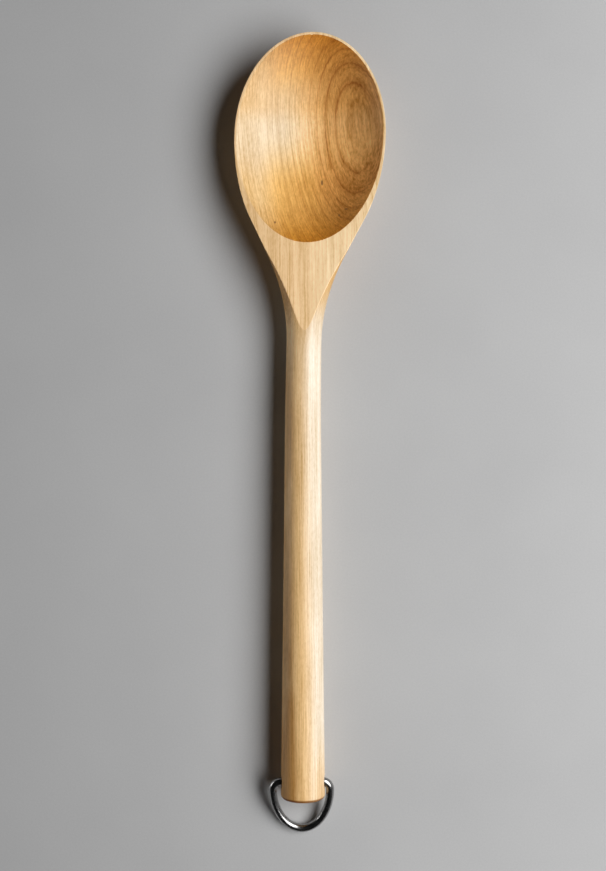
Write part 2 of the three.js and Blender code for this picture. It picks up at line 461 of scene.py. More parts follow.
class FinishPlan(Plan):
    """A material's node tree, in millimetres of the piece's own space."""

    def __init__(self, name: str) -> None:
        """Starts a material with one shader and the piece's own coordinates.

        Args:
            name: Name of the material.
        """
        self.material = bpy.data.materials.new(name)
        self.material.use_nodes = True
        super().__init__(self.material.node_tree)
        self.shader = next(n for n in self.tree.nodes if n.type == "BSDF_PRINCIPLED")
        scaled = self.node("ShaderNodeVectorMath", operation="SCALE")
        self.feed(scaled.inputs[0], self.node("ShaderNodeTexCoord").outputs["Object"])
        scaled.inputs["Scale"].default_value = 1.0 / MM
        self.place = scaled.outputs[0]

    def mapped(self, size: Point, shift: float, place: Socket) -> Socket:
        """Scales coordinates for a pattern.

        Args:
            size: Size of a patch along each axis, in millimetres.
            shift: Moves the pattern, so that two of the same size differ.
            place: Coordinates to start from.

        Returns:
            Coordinates in which a patch is 1 across.
        """
        mapping = self.node("ShaderNodeMapping")
        self.feed(mapping.inputs["Vector"], place)
        mapping.inputs["Scale"].default_value = tuple(1.0 / length for length in size)
        mapping.inputs["Location"].default_value = (shift, shift, shift)
        return mapping.outputs[0]

    def noise(self, pattern: Noise, place: Optional[Socket] = None) -> Number:
        """Draws a soft random pattern.

        Args:
            pattern: Which pattern.
            place: Coordinates to read, or the piece's own.

        Returns:
            A number about 0.5, from 0 to 1.
        """
        made = self.node("ShaderNodeTexNoise")
        self.feed(made.inputs["Vector"], self.mapped(pattern.size, pattern.shift, place or self.place))
        for name, value in (("Scale", 1.0), ("Detail", pattern.detail), ("Roughness", pattern.roughness)):
            made.inputs[name].default_value = value
        return Number(self, made.outputs[0])

    def swing(self, pattern: Noise, place: Optional[Socket] = None) -> Number:
        """The same pattern as a number about 0, from -0.5 to 0.5."""
        return self.noise(pattern, place) - 0.5

    def specks(self, spacing: Point, radius: float, share: float) -> Number:
        """Scattered small spots.

        Args:
            spacing: Distance between places for a spot along each axis, in millimetres.
            radius: Radius of a spot as a share of the spacing.
            share: Share of the places that have a spot.

        Returns:
            1 inside a spot and 0 outside it.
        """
        made = self.node("ShaderNodeTexVoronoi")
        self.feed(made.inputs["Vector"], self.mapped(spacing, 0.0, self.place))
        made.inputs["Scale"].default_value = 1.0
        chance, _, _ = self.parts(made.outputs["Color"])
        near = 1.0 - Number(self, made.outputs["Distance"]).eased(radius / 2.0, radius)
        return near * chance.below(share)

    def attribute(self, name: str) -> bpy.types.Node:
        """Reads an attribute of the mesh."""
        return self.node("ShaderNodeAttribute", attribute_name=name)

    def mark(self, name: str) -> Number:
        """The number that the mesh holds under a name."""
        return Number(self, self.attribute(name).outputs["Fac"])

    def blend(self, share: Number, first: object, second: object, kind: str = "MIX") -> Socket:
        """Mixes two colours.

        Args:
            share: How much of the second.
            first: Colour, or socket that carries one.
            second: Colour, or socket that carries one.
            kind: Blender's name for the way they mix.

        Returns:
            The mixed colour.
        """
        made = self.node("ShaderNodeMix", data_type="RGBA", blend_type=kind)
        sockets = {socket.identifier: socket for socket in (*made.inputs, *made.outputs)}
        self.feed(sockets["Factor_Float"], share)
        for name, colour in (("A_Color", first), ("B_Color", second)):
            self.feed(sockets[name], colour if isinstance(colour, Socket) else (*colour, 1.0))
        return sockets["Result_Color"]

    def tinted(self, colour: Socket, tint: Colour, share: Number) -> Socket:
        """A colour with a share of a tint laid over it."""
        return self.blend(share, colour, tint, kind="MULTIPLY")

    def shaded(self, colour: Socket, shade: Number, strength: Colour) -> Socket:
        """Makes a colour lighter or darker.

        Args:
            colour: The colour.
            shade: How much, as a number about 0.
            strength: How strongly red, green and blue follow it.

        Returns:
            The shaded colour.
        """
        made = self.node("ShaderNodeVectorMath", operation="MULTIPLY")
        self.feed(made.inputs[0], colour)
        self.feed(made.inputs[1], self.point(*(1.0 + part * shade for part in strength)))
        return made.outputs[0]

    def raise_by(self, height: Number, depth: float, strength: float) -> None:
        """Gives the shader fine relief.

        Args:
            height: Height from 0 to 1.
            depth: What a height of 1 stands for, in millimetres.
            strength: Share of the relief that shows.
        """
        bump = self.node("ShaderNodeBump")
        bump.inputs["Strength"].default_value = strength
        bump.inputs["Distance"].default_value = depth * MM
        self.feed(bump.inputs["Height"], height)
        self.feed(self.shader.inputs["Normal"], bump.outputs[0])


@dataclass(frozen=True)
class GrainAxis:
    """A line along the grain, in millimetres, that the wood's layers or its tones lie round."""

    x: float
    z: float
    run_x: float
    run_z: float

    def offsets(self, x: Number, along: Number, z: Number) -> tuple[Number, Number]:
        """How far a place lies to the side of the axis, and how far above it."""
        return x - self.x - self.run_x * along, z - self.z - self.run_z * along


@dataclass(frozen=True)
class Zone:
    """A soft-edged patch of the hollow, by slope along the fibres and distance from the tones' axis."""

    slope_rise: Optional[Span] = None
    slope_fall: Optional[Span] = None
    radius_rise: Optional[Span] = None
    radius_fall: Optional[Span] = None
    strength: float = 1.0

    def share(self, slope: Number, radius: Number) -> Number:
        """How strongly the patch shows at a place.

        Args:
            slope: Slope along the fibres.
            radius: Distance from the axis of the tones, in millimetres.

        Returns:
            0 outside the patch, and its strength inside.
        """
        rises = ((slope, self.slope_rise), (radius, self.radius_rise))
        falls = ((slope, self.slope_fall), (radius, self.radius_fall))
        edges = [number.eased(*span) for number, span in rises if span is not None]
        edges += [1.0 - number.eased(*span) for number, span in falls if span is not None]
        return math.prod(edges, start=self.strength)


def strongest(zones: Sequence[Zone], slope: Number, radius: Number) -> Number:
    """The largest share that any of the zones has at a place.

    Args:
        zones: The zones.
        slope: Slope along the fibres.
        radius: Distance from the axis of the tones.

    Returns:
        The largest of their shares.
    """
    most, *others = (zone.share(slope, radius) for zone in zones)
    for share in others:
        most = most.at_least(share)
    return most


@dataclass(frozen=True)
class StainAndShade:
    """A darker stretch of the handle, for painted shade and stains: its strength, its soft edge across the
    handle and its end along it.
    """

    strength: float
    across: Span
    along: Span
    both_sides: bool = False

    def share(self, leftward: Number, y: Number) -> Number:
        """How strongly the darker stretch shows, by the distance left of the handle's axis and the place
        along it.
        """
        offset = abs(leftward) if self.both_sides else leftward
        return self.strength * offset.ramp(*self.across) * (1.0 - y.eased(*self.along))


@dataclass(frozen=True)
class GrowthLines:
    """Thin dark late-wood lines, one for each year's layer. Lengths in millimetres.

    A pair of weights is for outside the hollow and in it.
    """

    first: float = 38.48
    spacing: float = 2.49
    core_width: float = 0.11
    core_weight: float = 0.75
    tail_width: float = 0.45
    tail_weight: Span = (0.12, 0.40)
    least: float = 0.20
    patchy: Noise = Noise((4.0, 16.0, 4.0), detail=3.0, shift=23.0)
    patchy_rise: Span = (0.32, 0.66)
    patchy_weight: float = 0.50
    heart_fade: Span = (41.5, 45.0)
    heart_weight: float = 0.40
    far_fade: Span = (55.0, 75.0)
    far_loss: float = 0.45
    rim_fade: Span = (21.0, 27.0)
    rim_loss: float = 0.7
    weight: Span = (0.45, 1.0)

    def share(self, plan: FinishPlan, depth: Number, hollow: Number) -> Number:
        """How much of the late wood's colour shows at a place.

        Args:
            plan: The material being drawn.
            depth: Depth through the layers, from the tree's heart, in millimetres.
            hollow: 1 in the hollow, and 0 outside it, where the lines are fainter.

        Returns:
            A number from 0 to 1.
        """
        x, _, _ = plan.parts(plan.place)
        turn = (depth - self.first) / self.spacing
        part = turn - turn.floor()
        core = 1.0 - part.at_most(1.0 - part).ramp(0.0, self.core_width)
        tail = (1.0 - part.ramp(0.0, self.tail_width)).squared()
        near_heart = 1.0 - depth.eased(*self.heart_fade)
        patchy = plan.noise(self.patchy).eased(*self.patchy_rise)
        strength = self.least + self.patchy_weight * patchy + self.heart_weight * near_heart
        line = (self.core_weight * core + plan.between(*self.tail_weight, hollow) * tail) * strength
        line = line * (1.0 - self.far_loss * depth.eased(*self.far_fade))
        line = line * (1.0 - self.rim_loss * x.eased(*self.rim_fade))
        return line.held() * plan.between(*self.weight, hollow)


@dataclass(frozen=True)
class OiledWood:
    """Pale close-grained wood, sanded and oiled, with growth layers bent about an axis along the grain.

    Lengths are in millimetres. A pair of weights is for outside the hollow and in it. A rise or fade is
    where a number starts to count and where it counts in full.
    """

    axis_x: float

    # Colours, and tints that are laid over them.
    golden: Colour = (0.95, 0.61, 0.27)
    # Painted light: the paler colour of the handle's right side and top, where the key lamp falls.
    painted_light_pale: Colour = (0.86, 0.72, 0.54)
    burnished: Colour = (0.81, 0.54, 0.255)
    # Painted highlight: the colour of the sheen band in the hollow.
    painted_sheen_colour: Colour = (0.86, 0.665, 0.42)
    # The flat's colours are paler than the turned wood: partly planed wood, partly painted light on the face
    # that looks up at the lamp.
    planed_and_lit: Colour = (1.0, 0.67, 0.345)
    planed_and_lit_pale: Colour = (1.0, 0.71, 0.385)
    # Deeper colour towards the tones' axis: partly heartwood colour, partly painted shade on the right wall.
    heart_and_shade_tint: Colour = (0.99, 0.68, 0.36)
    # Painted shade: darkens the right wall of the hollow.
    painted_shade_tint: Colour = (0.86, 0.88, 0.86)
    # Painted highlight: lightens the patches that carry the sheen band across the hollow.
    painted_highlight_tint: Colour = (1.18, 1.22, 1.20)
    # Warmer end walls; at the neck end they also carry painted light.
    honey_and_light_tint: Colour = (1.02, 0.93, 0.56)
    amber_light_tint: Colour = (1.11, 1.02, 0.94)
    deep_tint: Colour = (0.99, 0.96, 0.74)
    # Darker tint for painted shade on the handle's left side and for stains by the butt.
    stain_and_shade_tint: Colour = (0.70, 0.55, 0.34)
    late_tint: Colour = (0.66, 0.50, 0.34)
    end_tint: Colour = (0.66, 0.43, 0.08)
    butt_tint: Colour = (0.48, 0.38, 0.30)
    fleck: Colour = (0.25, 0.115, 0.035)

    # The tree that the wood came from, and how its layers sway.
    tones: GrainAxis = GrainAxis(x=29.2, z=-11.2, run_x=0.0113, run_z=0.0078)
    heart: GrainAxis = GrainAxis(x=36.885, z=-22.418, run_x=-0.1225, run_z=-0.0101)
    datum_y: float = 129.7
    lean_reach: float = 40.0
    wander: Noise = Noise((26.0, 60.0, 26.0), detail=1.0, shift=5.0)
    ripple: Noise = Noise((2.0, 7.0, 2.0), detail=3.0, shift=13.0, roughness=0.6)
    tone_wander: float = 0.9
    tone_ripple: float = 0.7
    layer_wander: float = 0.6
    layer_ripple: float = 0.5
    growth_lines: GrowthLines = GrowthLines()

    # Places in the hollow: a painted sheen band and painted highlights, painted shade on the right wall,
    # warmer end walls.
    # Towards the tones' axis, past the right wall that faces away from the key lamp, the colour deepens:
    # partly heartwood colour, partly painted shade.
    heart_fade: Span = (25.5, 46.0)
    # Painted highlight: a pale band where the wall runs along the fibres, standing in for the sheen under the
    # key lamp.
    painted_sheen_band: Zone = Zone(slope_rise=(-0.19, -0.07), slope_fall=(-0.02, 0.24))
    # Painted shade: the right wall, which faces away from the key lamp, is darkened, except along the band of
    # the painted sheen.
    unshaded_band: Zone = Zone(slope_rise=(-0.20, -0.02), slope_fall=(0.15, 0.45))
    painted_shade_fade: Span = (28.0, 38.0)
    # Painted highlights: lighter patches that carry the sheen band across the middle, the lower left and the
    # right of the hollow.
    painted_highlights: tuple[Zone, ...] = (
        Zone(
            slope_rise=(-0.34, -0.12), slope_fall=(0.0, 0.25),
            radius_rise=(26.0, 31.0), radius_fall=(36.0, 46.0),
        ),
        Zone(slope_rise=(0.05, 0.25), radius_rise=(46.0, 56.0), strength=0.7),
        Zone(slope_rise=(-0.08, 0.04), slope_fall=(0.10, 0.22), radius_fall=(27.0, 31.0), strength=0.65),
    )
    # Warmer colour on the walls at both ends of the hollow, redder and lighter to the left; at the neck end
    # this stands in for more light falling there, which is painted light.
    honey_and_light_zones: tuple[Zone, ...] = (
        Zone(slope_rise=(-0.06, 0.20), radius_rise=(24.0, 36.0), radius_fall=(46.0, 58.0)),
        Zone(slope_fall=(-0.40, -0.18), radius_rise=(24.0, 36.0), radius_fall=(46.0, 58.0)),
    )
    amber_rise: Span = (33.0, 42.0)
    deep: Zone = Zone(slope_rise=(0.32, 0.55), radius_rise=(22.0, 30.0), radius_fall=(44.0, 52.0))

    # Golden and darker places on the flat, the belly and the handle; painted light on the handle's right
    # side, painted shade on its left.
    flat_rise: Span = (34.0, 46.0)
    head_gold: float = 0.55
    head_rise: Span = (48.0, 72.0)
    belly_fade: Span = (0.0, 8.0)
    # The handle's right side and top keep the paler colour, which is painted light; golden comes in towards
    # the left.
    side_lean: float = 0.012
    side_rise: Span = (38.3, 45.4)
    butt_gold: float = 0.5
    butt_fade: Span = (-152.0, -122.0)
    # The two that darken only the handle's left side, which faces away from the key lamp, are painted shade,
    # made patchy by the noise below; the one on both sides darkens the edges by the butt.
    stains_and_shade: tuple[StainAndShade, ...] = (
        StainAndShade(0.85, across=(0.5, 5.0), along=(-150.0, -100.0)),
        StainAndShade(0.55, across=(2.8, 5.0), along=(20.0, 50.0)),
        StainAndShade(0.6, across=(4.0, 8.0), along=(-156.0, -138.0), both_sides=True),
    )
    patchiness: Noise = Noise((6.0, 18.0, 6.0), detail=2.0, shift=31.0)
    patchiness_weight: float = 2.4

    # End grain, by how steeply the surface crosses the fibres.
    face_rise: Span = (0.90, 0.99)
    end_rise: Span = (0.0, 0.42)
    end_weight: float = 0.7
    end_face_loss: float = 0.5
    cupped_end_rise: Span = (0.18, 0.68)
    butt_rise: Span = (0.03, 0.35)
    butt_face_loss: float = 0.8
    butt_start: float = -150.0

    # Fine grain.
    bands: Noise = Noise((0.9, 80.0, 9.0), detail=4.0, roughness=0.65)
    band_weight: Span = (0.55, 0.80)
    streaks: Noise = Noise((2.8, 90.0, 24.0), detail=2.0, shift=29.0)
    streak_weight: float = 0.55
    fibre: Noise = Noise((0.38, 22.0, 1.0), detail=2.0, shift=7.0)
    fibre_weight: float = 0.90
    pebble: Noise = Noise((0.80, 2.2, 0.80), detail=3.0, shift=11.0, roughness=0.6)
    pebble_weight: Span = (0.45, 0.65)
    patch: Noise = Noise((16.0, 46.0, 16.0), detail=2.0, shift=3.0)
    patch_weight: Span = (0.50, 0.30)
    pores: Noise = Noise((0.26, 2.2, 0.26), detail=1.0, shift=19.0)
    pore_rise: Span = (0.58, 0.74)
    pore_weight: float = 0.10
    heart_boost: float = 0.5
    end_boost: float = 0.7
    shade_strength: Colour = (0.70, 0.93, 1.40)

    # Dark flecks. Those in the bowl have a place and a reach across and along.
    speck_spacing: Point = (7.5, 19.0, 7.5)
    speck_radius: float = 0.06
    speck_share: float = 0.10
    fleck_weight: float = 0.85
    fleck_edge: Span = (0.2, 1.0)
    bowl_flecks: tuple[tuple[float, float, float, float], ...] = (
        (5.3, 111.2, 0.6, 1.5), (-15.0, 92.5, 0.6, 0.7), (15.6, 98.5, 0.9, 0.5), (12.6, 95.8, 0.5, 0.8),
    )

    # Gloss and relief.
    roughness: float = 0.5
    rough_by_fibre: float = 0.12
    rough_by_pebble: float = 0.10
    rough_by_pores: float = 0.05
    relief_by_fibre: float = 0.5
    relief_by_pebble: float = 0.4
    relief_by_pores: float = 0.4
    relief_by_lines: float = 0.15
    relief_depth: float = 0.06
    relief_strength: float = 0.35

    def make(self) -> bpy.types.Material:
        """Draws the material.

        Returns:
            The finished material.
        """
        plan = FinishPlan("oiled_wood")
        _, y, _ = plan.parts(plan.place)
        radius, depth, layers = self._layers(plan)
        hollow, planed_and_lit, slope = (plan.mark(name) for name in ("hollow", "planed_and_lit", "fibre_slope"))
        lines = self.growth_lines.share(plan, depth, hollow)
        steep = abs(slope)
        face = steep.eased(*self.face_rise)
        end_grain = self.end_weight * steep.eased(*self.end_rise) * (1.0 - self.end_face_loss * face)
        ends = plan.between(end_grain, steep.eased(*self.cupped_end_rise), hollow)
        butt = steep.eased(*self.butt_rise) * (1.0 - self.butt_face_loss * face) * y.below(self.butt_start)

        near_heart = 1.0 - radius.eased(*self.heart_fade)
        # The top flat is paler: partly planed wood, partly painted light on the upward face.
        flat = plan.blend(radius.eased(*self.flat_rise), self.planed_and_lit_pale, self.planed_and_lit)
        outside = plan.blend(planed_and_lit, self._turned(plan, radius), flat)
        colour = plan.blend(hollow, outside, self._cupped(plan, slope, radius, near_heart))
        for tint, share in ((self.late_tint, lines), (self.end_tint, ends), (self.butt_tint, butt)):
            colour = plan.tinted(colour, tint, share)

        fibre = plan.swing(self.fibre, layers)
        pebble = plan.swing(self.pebble)
        pores = plan.noise(self.pores).eased(*self.pore_rise)
        grain = plan.between(*self.band_weight, hollow) * plan.swing(self.bands, layers)
        grain = grain + self.streak_weight * plan.swing(self.streaks, layers) + self.fibre_weight * fibre
        grain = grain + plan.between(*self.pebble_weight, hollow) * pebble - self.pore_weight * pores
        grain = grain + plan.between(*self.patch_weight, hollow) * plan.swing(self.patch)
        boost = self.heart_boost * hollow * near_heart.at_least(self.end_boost * ends)
        colour = plan.shaded(colour, (1.0 + boost) * grain, self.shade_strength)
        flecks = self.fleck_weight * self._flecks(plan, hollow)
        plan.feed(plan.shader.inputs["Base Color"], plan.blend(flecks, colour, self.fleck))

        rough = self.roughness + self.rough_by_fibre * fibre + self.rough_by_pebble * pebble
        plan.feed(plan.shader.inputs["Roughness"], rough + self.rough_by_pores * pores)
        relief = self.relief_by_fibre * fibre + self.relief_by_pebble * pebble
        relief = relief - self.relief_by_pores * pores - self.relief_by_lines * lines
        plan.raise_by(relief, self.relief_depth, self.relief_strength)
        return plan.material

    def _layers(self, plan: FinishPlan) -> tuple[Number, Number, Socket]:
        """Where a place lies in the tree that the wood came from.

        Args:
            plan: The material being drawn.

        Returns:
            Distance from the axis of the tones, depth through the layers, and a point of that depth, the
            length along the grain and the length round.
        """
        x, y, z = plan.parts(plan.place)
        along = y - self.datum_y
        wander, ripple = plan.swing(self.wander), plan.swing(self.ripple)
        aside, above = self.tones.offsets(x, along, z)
        sway = self.tone_wander * wander + self.tone_ripple * ripple
        radius = (aside.squared() + above.squared()).root() + sway
        aside, above = self.heart.offsets(x, along.at_least(-self.lean_reach), z)
        sway = self.layer_wander * wander + self.layer_ripple * ripple
        depth = (aside.squared() + above.squared()).root() + sway
        bearing = plan.work_out(Op.BEARING, above, aside)
        return radius, depth, plan.point(depth, y, bearing * depth)

    def _cupped(self, plan: FinishPlan, slope: Number, radius: Number, near_heart: Number) -> Socket:
        """Colour of the wood in the hollow, with its painted sheen, highlights and shade, before its lines
        and fine grain.

        Args:
            plan: The material being drawn.
            slope: Slope along the fibres.
            radius: Distance from the axis of the tones.
            near_heart: 1 near that axis and 0 away from it.

        Returns:
            The colour.
        """
        # The pale band is a painted highlight of the sheen.
        colour = plan.blend(self.painted_sheen_band.share(slope, radius), self.burnished, self.painted_sheen_colour)
        # Painted shade on the right wall.
        painted_shade = (1.0 - radius.eased(*self.painted_shade_fade)) * (1.0 - self.unshaded_band.share(slope, radius))
        # Painted highlights.
        painted_highlight = strongest(self.painted_highlights, slope, radius)
        # Warmer end walls, with painted light at the neck end.
        honey_and_light = strongest(self.honey_and_light_zones, slope, radius)
        # The tint towards the tones' axis is partly painted shade.
        tints = (
            (self.heart_and_shade_tint, near_heart), (self.painted_shade_tint, painted_shade), (self.painted_highlight_tint, painted_highlight),
            (self.honey_and_light_tint, honey_and_light), (self.amber_light_tint, honey_and_light * radius.eased(*self.amber_rise)),
            (self.deep_tint, self.deep.share(slope, radius)),
        )
        for tint, share in tints:
            colour = plan.tinted(colour, tint, share)
        return colour

    def _turned(self, plan: FinishPlan, radius: Number) -> Socket:
        """Colour of the wood on the handle and under the bowl, with painted light on the handle's right side
        and painted shade on its left, before its lines and fine grain.

        Args:
            plan: The material being drawn.
            radius: Distance from the axis of the tones.

        Returns:
            The colour.
        """
        x, y, z = plan.parts(plan.place)
        # The paler colour left on the handle's right side and top is painted light.
        gold = self.head_gold * y.eased(*self.head_rise).at_least(1.0 - z.eased(*self.belly_fade))
        gold = gold.at_least((radius - self.side_lean * y).eased(*self.side_rise))
        gold = gold.at_least(self.butt_gold * (1.0 - y.eased(*self.butt_fade)))
        # Darker stretches: painted shade on the handle's left side, and stains by the butt.
        leftward = self.axis_x - x
        stained_and_shaded = sum(darkening.share(leftward, y) for darkening in self.stains_and_shade)
        stained_and_shaded = (stained_and_shaded * (1.0 + self.patchiness_weight * plan.swing(self.patchiness))).held()
        return plan.tinted(plan.blend(gold, self.painted_light_pale, self.golden), self.stain_and_shade_tint, stained_and_shaded)

    def _flecks(self, plan: FinishPlan, hollow: Number) -> Number:
        """Small dark flecks: scattered ones outside the hollow, and a few at their own places in it.

        Args:
            plan: The material being drawn.
            hollow: 1 in the hollow, and 0 outside it.

        Returns:
            1 in a fleck and 0 elsewhere, with soft edges.
        """
        x, y, _ = plan.parts(plan.place)
        flecks = plan.specks(self.speck_spacing, self.speck_radius, self.speck_share) * (1.0 - hollow)
        for fleck_x, fleck_y, reach_x, reach_y in self.bowl_flecks:
            away = ((x - fleck_x) / reach_x).squared() + ((y - fleck_y) / reach_y).squared()
            flecks = flecks + (1.0 - away.eased(*self.fleck_edge)) * hollow
        return flecks.held()


@dataclass(frozen=True)
class PolishedWire:
    """Bright drawn steel wire, with faint lines along it. Lengths in millimetres."""

    bright: Colour = (0.40, 0.395, 0.39)
    dull: Colour = (0.31, 0.306, 0.302)
    drawn: Noise = Noise((0.16, 0.16, 14.0), detail=2.0)
    handled: Noise = Noise((3.0, 3.0, 5.0), detail=3.0, shift=4.0)
    dull_rise: Span = (0.35, 0.75)
    rough_rise: Span = (0.4, 0.8)
    roughness: float = 0.21
    rough_by_drawing: float = 0.05
    rough_by_handling: float = 0.06
    relief_depth: float = 0.01
    relief_strength: float = 0.12

    def make(self) -> bpy.types.Material:
        """Draws the material.

        Returns:
            The finished material.
        """
        plan = FinishPlan("polished_wire")
        side_x, side_y, _ = plan.parts(plan.attribute("wire_side").outputs["Vector"])
        drawn = plan.noise(self.drawn, plan.point(side_x, side_y, plan.mark("wire_along")))
        handled = plan.noise(self.handled)
        colour = plan.blend(handled.eased(*self.dull_rise), self.bright, self.dull)
        plan.feed(plan.shader.inputs["Base Color"], colour)
        plan.shader.inputs["Metallic"].default_value = 1.0
        rough = self.roughness + self.rough_by_drawing * drawn
        rough = rough + self.rough_by_handling * handled.eased(*self.rough_rise)
        plan.feed(plan.shader.inputs["Roughness"], rough)
        plan.raise_by(drawn, self.relief_depth, self.relief_strength)
        return plan.material


@dataclass(frozen=True)
class PaleTable:
    """Plain pale grey tabletop, which fades to one pale tone far from the spoon. Lengths in millimetres."""

    light: Colour = (0.555, 0.555, 0.555)
    dark: Colour = (0.505, 0.505, 0.507)
    far: Colour = (0.40, 0.40, 0.402)
    far_rise: Span = (240.0, 800.0)
    cloud: Noise = Noise((60.0, 60.0, 60.0), detail=3.0)
    speckle: Noise = Noise((0.8, 0.8, 0.8), detail=2.0, shift=9.0)
    mottle_rise: Span = (0.3, 0.7)
    roughness: float = 0.6
    rough_by_speckle: float = 0.15
    relief_depth: float = 0.03
    relief_strength: float = 0.2

    def make(self) -> bpy.types.Material:
        """Draws the material.

        Returns:
            The finished material.
        """
        plan = FinishPlan("pale_table")
        x, y, _ = plan.parts(plan.place)
        away = (x.squared() + y.squared()).root().eased(*self.far_rise)
        speckle = plan.noise(self.speckle)
        mottle = ((plan.noise(self.cloud) + speckle) / 2.0).ramp(*self.mottle_rise)
        near = plan.blend(mottle, self.light, self.dark)
        plan.feed(plan.shader.inputs["Base Color"], plan.blend(away, near, BLACK))
        plan.shader.inputs["Emission Color"].default_value = (*self.far, 1.0)
        plan.feed(plan.shader.inputs["Emission Strength"], away * plan.seen())
        plan.shader.inputs["Specular IOR Level"].default_value = 0.0
        plan.feed(plan.shader.inputs["Roughness"], self.roughness + self.rough_by_speckle * speckle)
        plan.raise_by(speckle, self.relief_depth, self.relief_strength)
        return plan.material


@dataclass
class WoodenSpoon:
    """The wood: belly, flat, hollow, handle and cross hole. Sizes in millimetres, angles in degrees."""

    axis_x: float
    tip_y: float
    length: float = 330.0
    bowl_half_width: float = 32.5
    tip_reach: float = 44.0
    shoulder_reach: float = 55.0
    flank_slope: float = 0.517
    cove_radius: float = 80.0
    neck_radius: float = 7.55
    butt_radius: float = 9.6
    taper_power: float = 1.2
    butt_edge: float = 1.7
    stock_height: float = 18.0
    belly_rim_angle: float = 58.0
    rounding_delay: float = 16.0
    rounding_run_out: float = 8.0
    head_lean: float = 1.7
    lean_middle: float = 145.0
    lean_half_run: float = 30.0
    rim_width: float = 1.1
    rim_width_at_tip: float = 1.3
    hollow_neck_reach: float = 46.0
    hollow_depth: float = 12.5
    hollow_rim_angle: float = 50.0
    hole_inset: float = 7.2
    hole_radius: float = 2.5
    hole_chamfer: float = 0.8
    strip_lead: float = 10.0
    weld: float = 0.002
    flat_tolerance: float = 0.02
    flat_overrun: float = 0.5
    sanded_from: float = 12.0
    sanded_fully_from: float = 32.0
    crisp_from: float = 28.0
    hollow_facing: float = 0.1
    tip_rows: int = 48
    shoulder_rows: int = 52
    neck_rows: int = 44
    handle_rows: int = 96
    butt_rows: int = 8
    columns: int = 112
    hollow_rows: int = 44
    hole_sides: int = 64

    def build(self, material: bpy.types.Material) -> bpy.types.Object:
        """Carves the spoon.

        Args:
            material: The wood's finish.

        Returns:
            The piece as a plain mesh.
        """
        plan = ShapePlan("spoon_carving")
        rules = SpoonRules(plan, self)
        outside = rules.outside()
        inside = plan.step("GeometryNodeFlipFaces", rules.top(), "Mesh")
        joined = plan.step("GeometryNodeJoinGeometry", [outside, inside], "Geometry")
        whole = plan.step("GeometryNodeMergeByDistance", joined, "Geometry", Distance=self.weld)
        cut = plan.node("GeometryNodeMeshBoolean", operation="DIFFERENCE", solver="EXACT")
        plan.feed(cut.inputs["Mesh 1"], whole)
        plan.feed(cut.inputs["Mesh 2"], rules.hole_cutter())
        plan.close(rules.marked(cut.outputs["Mesh"]), material)
        return plan.carry_out("carved_spoon", EdgeBevel())

    def dress(self, piece: bpy.types.Object) -> None:
        """Ties the piece to its body and hides the solid that it stands for.

        Args:
            piece: The finished piece.
        """
        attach(piece, Body.SPOON.value)
        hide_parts(Node.SPOON.value)

    @property
    def belly_sine(self) -> float:
        """Share of the belly's own half axis that the rim takes."""
        return math.sin(math.radians(self.belly_rim_angle))

    @property
    def belly_cut(self) -> float:
        """Level of the rim in the belly's own radius."""
        return -math.sqrt(1.0 - self.belly_sine ** 2)

    @property
    def round_cut(self) -> float:
        """Level of the flat in the round neck's radius."""
        return (self.stock_height - self.butt_radius) / self.neck_radius

    @property
    def shoulder_share(self) -> float:
        """Share of the shoulder's ellipse that is used before it is as steep as the flank."""
        ratio = self.flank_slope * self.shoulder_reach / self.bowl_half_width
        return ratio / math.hypot(1.0, ratio)

    @property
    def shoulder_end(self) -> float:
        """Station where the shoulder becomes the straight flank."""
        return self.tip_reach + self.shoulder_reach * self.shoulder_share

    @property
    def shoulder_end_width(self) -> float:
        """Half width at the end of the shoulder."""
        return self.bowl_half_width * math.sqrt(1.0 - self.shoulder_share ** 2)

    @property
    def cove_start(self) -> float:
        """Station where the flank becomes the cove."""
        start_width = self.neck_radius + self.cove_radius * (1.0 - math.cos(math.atan(self.flank_slope)))
        return self.shoulder_end + (self.shoulder_end_width - start_width) / self.flank_slope

    @property
    def cove_end(self) -> float:
        """Station where the cove becomes the handle."""
        return self.cove_start + self.cove_radius * math.sin(math.atan(self.flank_slope))

    @property
    def rounding_start(self) -> float:
        """Station where the section starts to turn round."""
        return self.tip_reach + self.rounding_delay

    @property
    def rounding_end(self) -> float:
        """Station where the section is fully round."""
        return self.cove_end + self.rounding_run_out

    @property
    def round_radius(self) -> float:
        """Radius of the handle where its section is first fully round."""
        return self.radius_at(self.rounding_end)

    @property
    def flat_end(self) -> float:
        """Finds where the two edges of the flat meet.

        Returns:
            The station there.
        """
        turned = (1.0 - self.belly_cut) / (self.round_cut - self.belly_cut)
        share = 0.5 - math.sin(math.asin(1.0 - 2.0 * turned) / 3.0)
        return self.rounding_start + share * (self.rounding_end - self.rounding_start)

    def radius_at(self, station: float) -> float:
        """Radius of the round handle at a station past the cove."""
        along = (station - self.cove_end) / (self.length - self.cove_end)
        return self.neck_radius + (self.butt_radius - self.neck_radius) * along ** self.taper_power


